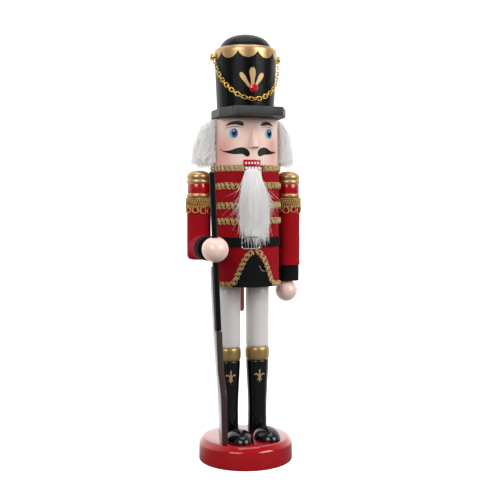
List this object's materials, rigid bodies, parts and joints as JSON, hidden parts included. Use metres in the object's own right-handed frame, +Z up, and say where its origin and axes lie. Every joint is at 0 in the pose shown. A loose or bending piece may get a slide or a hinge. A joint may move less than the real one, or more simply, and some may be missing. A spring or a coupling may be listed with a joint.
{
  "type": "nutcracker figure",
  "caption": "Wooden nutcracker soldier on a round base, with a tall hat, white hair and beard, felt coat, rifle and a jaw lever that opens the mouth.",
  "frame": {"origin": "middle of the round base's underside", "axes": "+Z up along the figure, +Y towards its back, so that it looks along -Y, and +X towards its own left hand"},
  "size_m": [0.0866, 0.0855, 0.31],
  "materials": {
    "red_gloss": "glossy dark red paint",
    "painted_leg": "glossy white trousers, gold knee band and glossy black boot, all painted",
    "black_gloss": "high-gloss black paint",
    "bare_wood": "bare turned wood",
    "steel_pin": "plain steel wire",
    "red_felt": "matte red felt",
    "black_felt": "matte black felt",
    "buckle_wire": "bright bent wire",
    "gold_braid": "looped metallic gold braid",
    "white_fur": "long white fur pile",
    "face_paint": "satin flesh paint with a painted face",
    "flesh_gloss": "glossy flesh paint",
    "hat_black": "satin black paint with a gold scalloped band and gold petals",
    "brim_board": "thin black paint on a sawn board",
    "gem_red": "red faceted glass",
    "gold_metal": "bright gold plate",
    "arm_paint": "gold paint with a glossy red ring",
    "rifle_black": "glossy black paint",
    "rifle_brown": "glossy dark brown paint"
  },
  "bodies": {
    "root": {"arm_left": "arm_paint", "arm_right": "arm_paint", "base_disc": "red_gloss", "belt": "black_felt", "belt_buckle": "buckle_wire", "chest_braid_lower_left": "gold_braid", "chest_braid_lower_right": "gold_braid", "chest_braid_middle_left": "gold_braid", "chest_braid_middle_right": "gold_braid", "chest_braid_upper_left": "gold_braid", "chest_braid_upper_right": "gold_braid", "coat_edge_braid_left": "gold_braid", "coat_edge_braid_right": "gold_braid", "coat_felt": "red_felt", "coat_front_panel": "black_felt", "collar_braid": "gold_braid", "cuff_left": "black_felt", "cuff_right": "black_felt", "epaulette_fringe_left": "gold_braid", "epaulette_fringe_right": "gold_braid", "forearm_right": "bare_wood", "hair_fur": "white_fur", "hand_left": "flesh_gloss", "hand_right": "flesh_gloss", "hat_brim": "brim_board", "hat_crown": "hat_black", "hat_dowel": "bare_wood", "hat_gem": "gem_red", "hat_stud_left": "gold_metal", "hat_stud_right": "gold_metal", "head": "face_paint", "leg_left": "painted_leg", "leg_right": "painted_leg", "neck_dowel": "bare_wood", "nose": "face_paint", "pivot_pin": "steel_pin", "rifle_barrel": "rifle_black", "rifle_stock": "rifle_brown", "shoulder_dowel_left": "bare_wood", "shoulder_dowel_right": "bare_wood", "sleeve_left": "red_felt", "sleeve_right": "red_felt", "toe_cap_left": "black_gloss", "toe_cap_right": "black_gloss", "torso": "bare_wood"},
    "jaw": {"jaw_lever": "red_gloss", "beard": "white_fur"},
    "chain": {"hat_chain": "gold_metal"}
  },
  "joints": [
    {"name": "jaw_hinge", "type": "hinge", "parent": "root", "child": "jaw", "pos_m": [0, -0.003, 0.198], "axis": [1, 0, 0], "range_deg": [0, 18], "deforming": ["beard"]},
    {"name": "chain_swing", "type": "hinge", "parent": "root", "child": "chain", "pos_m": [0, 0, 0.2933], "axis": [-1, 0, 0], "range_deg": [0, 50]}
  ]
}
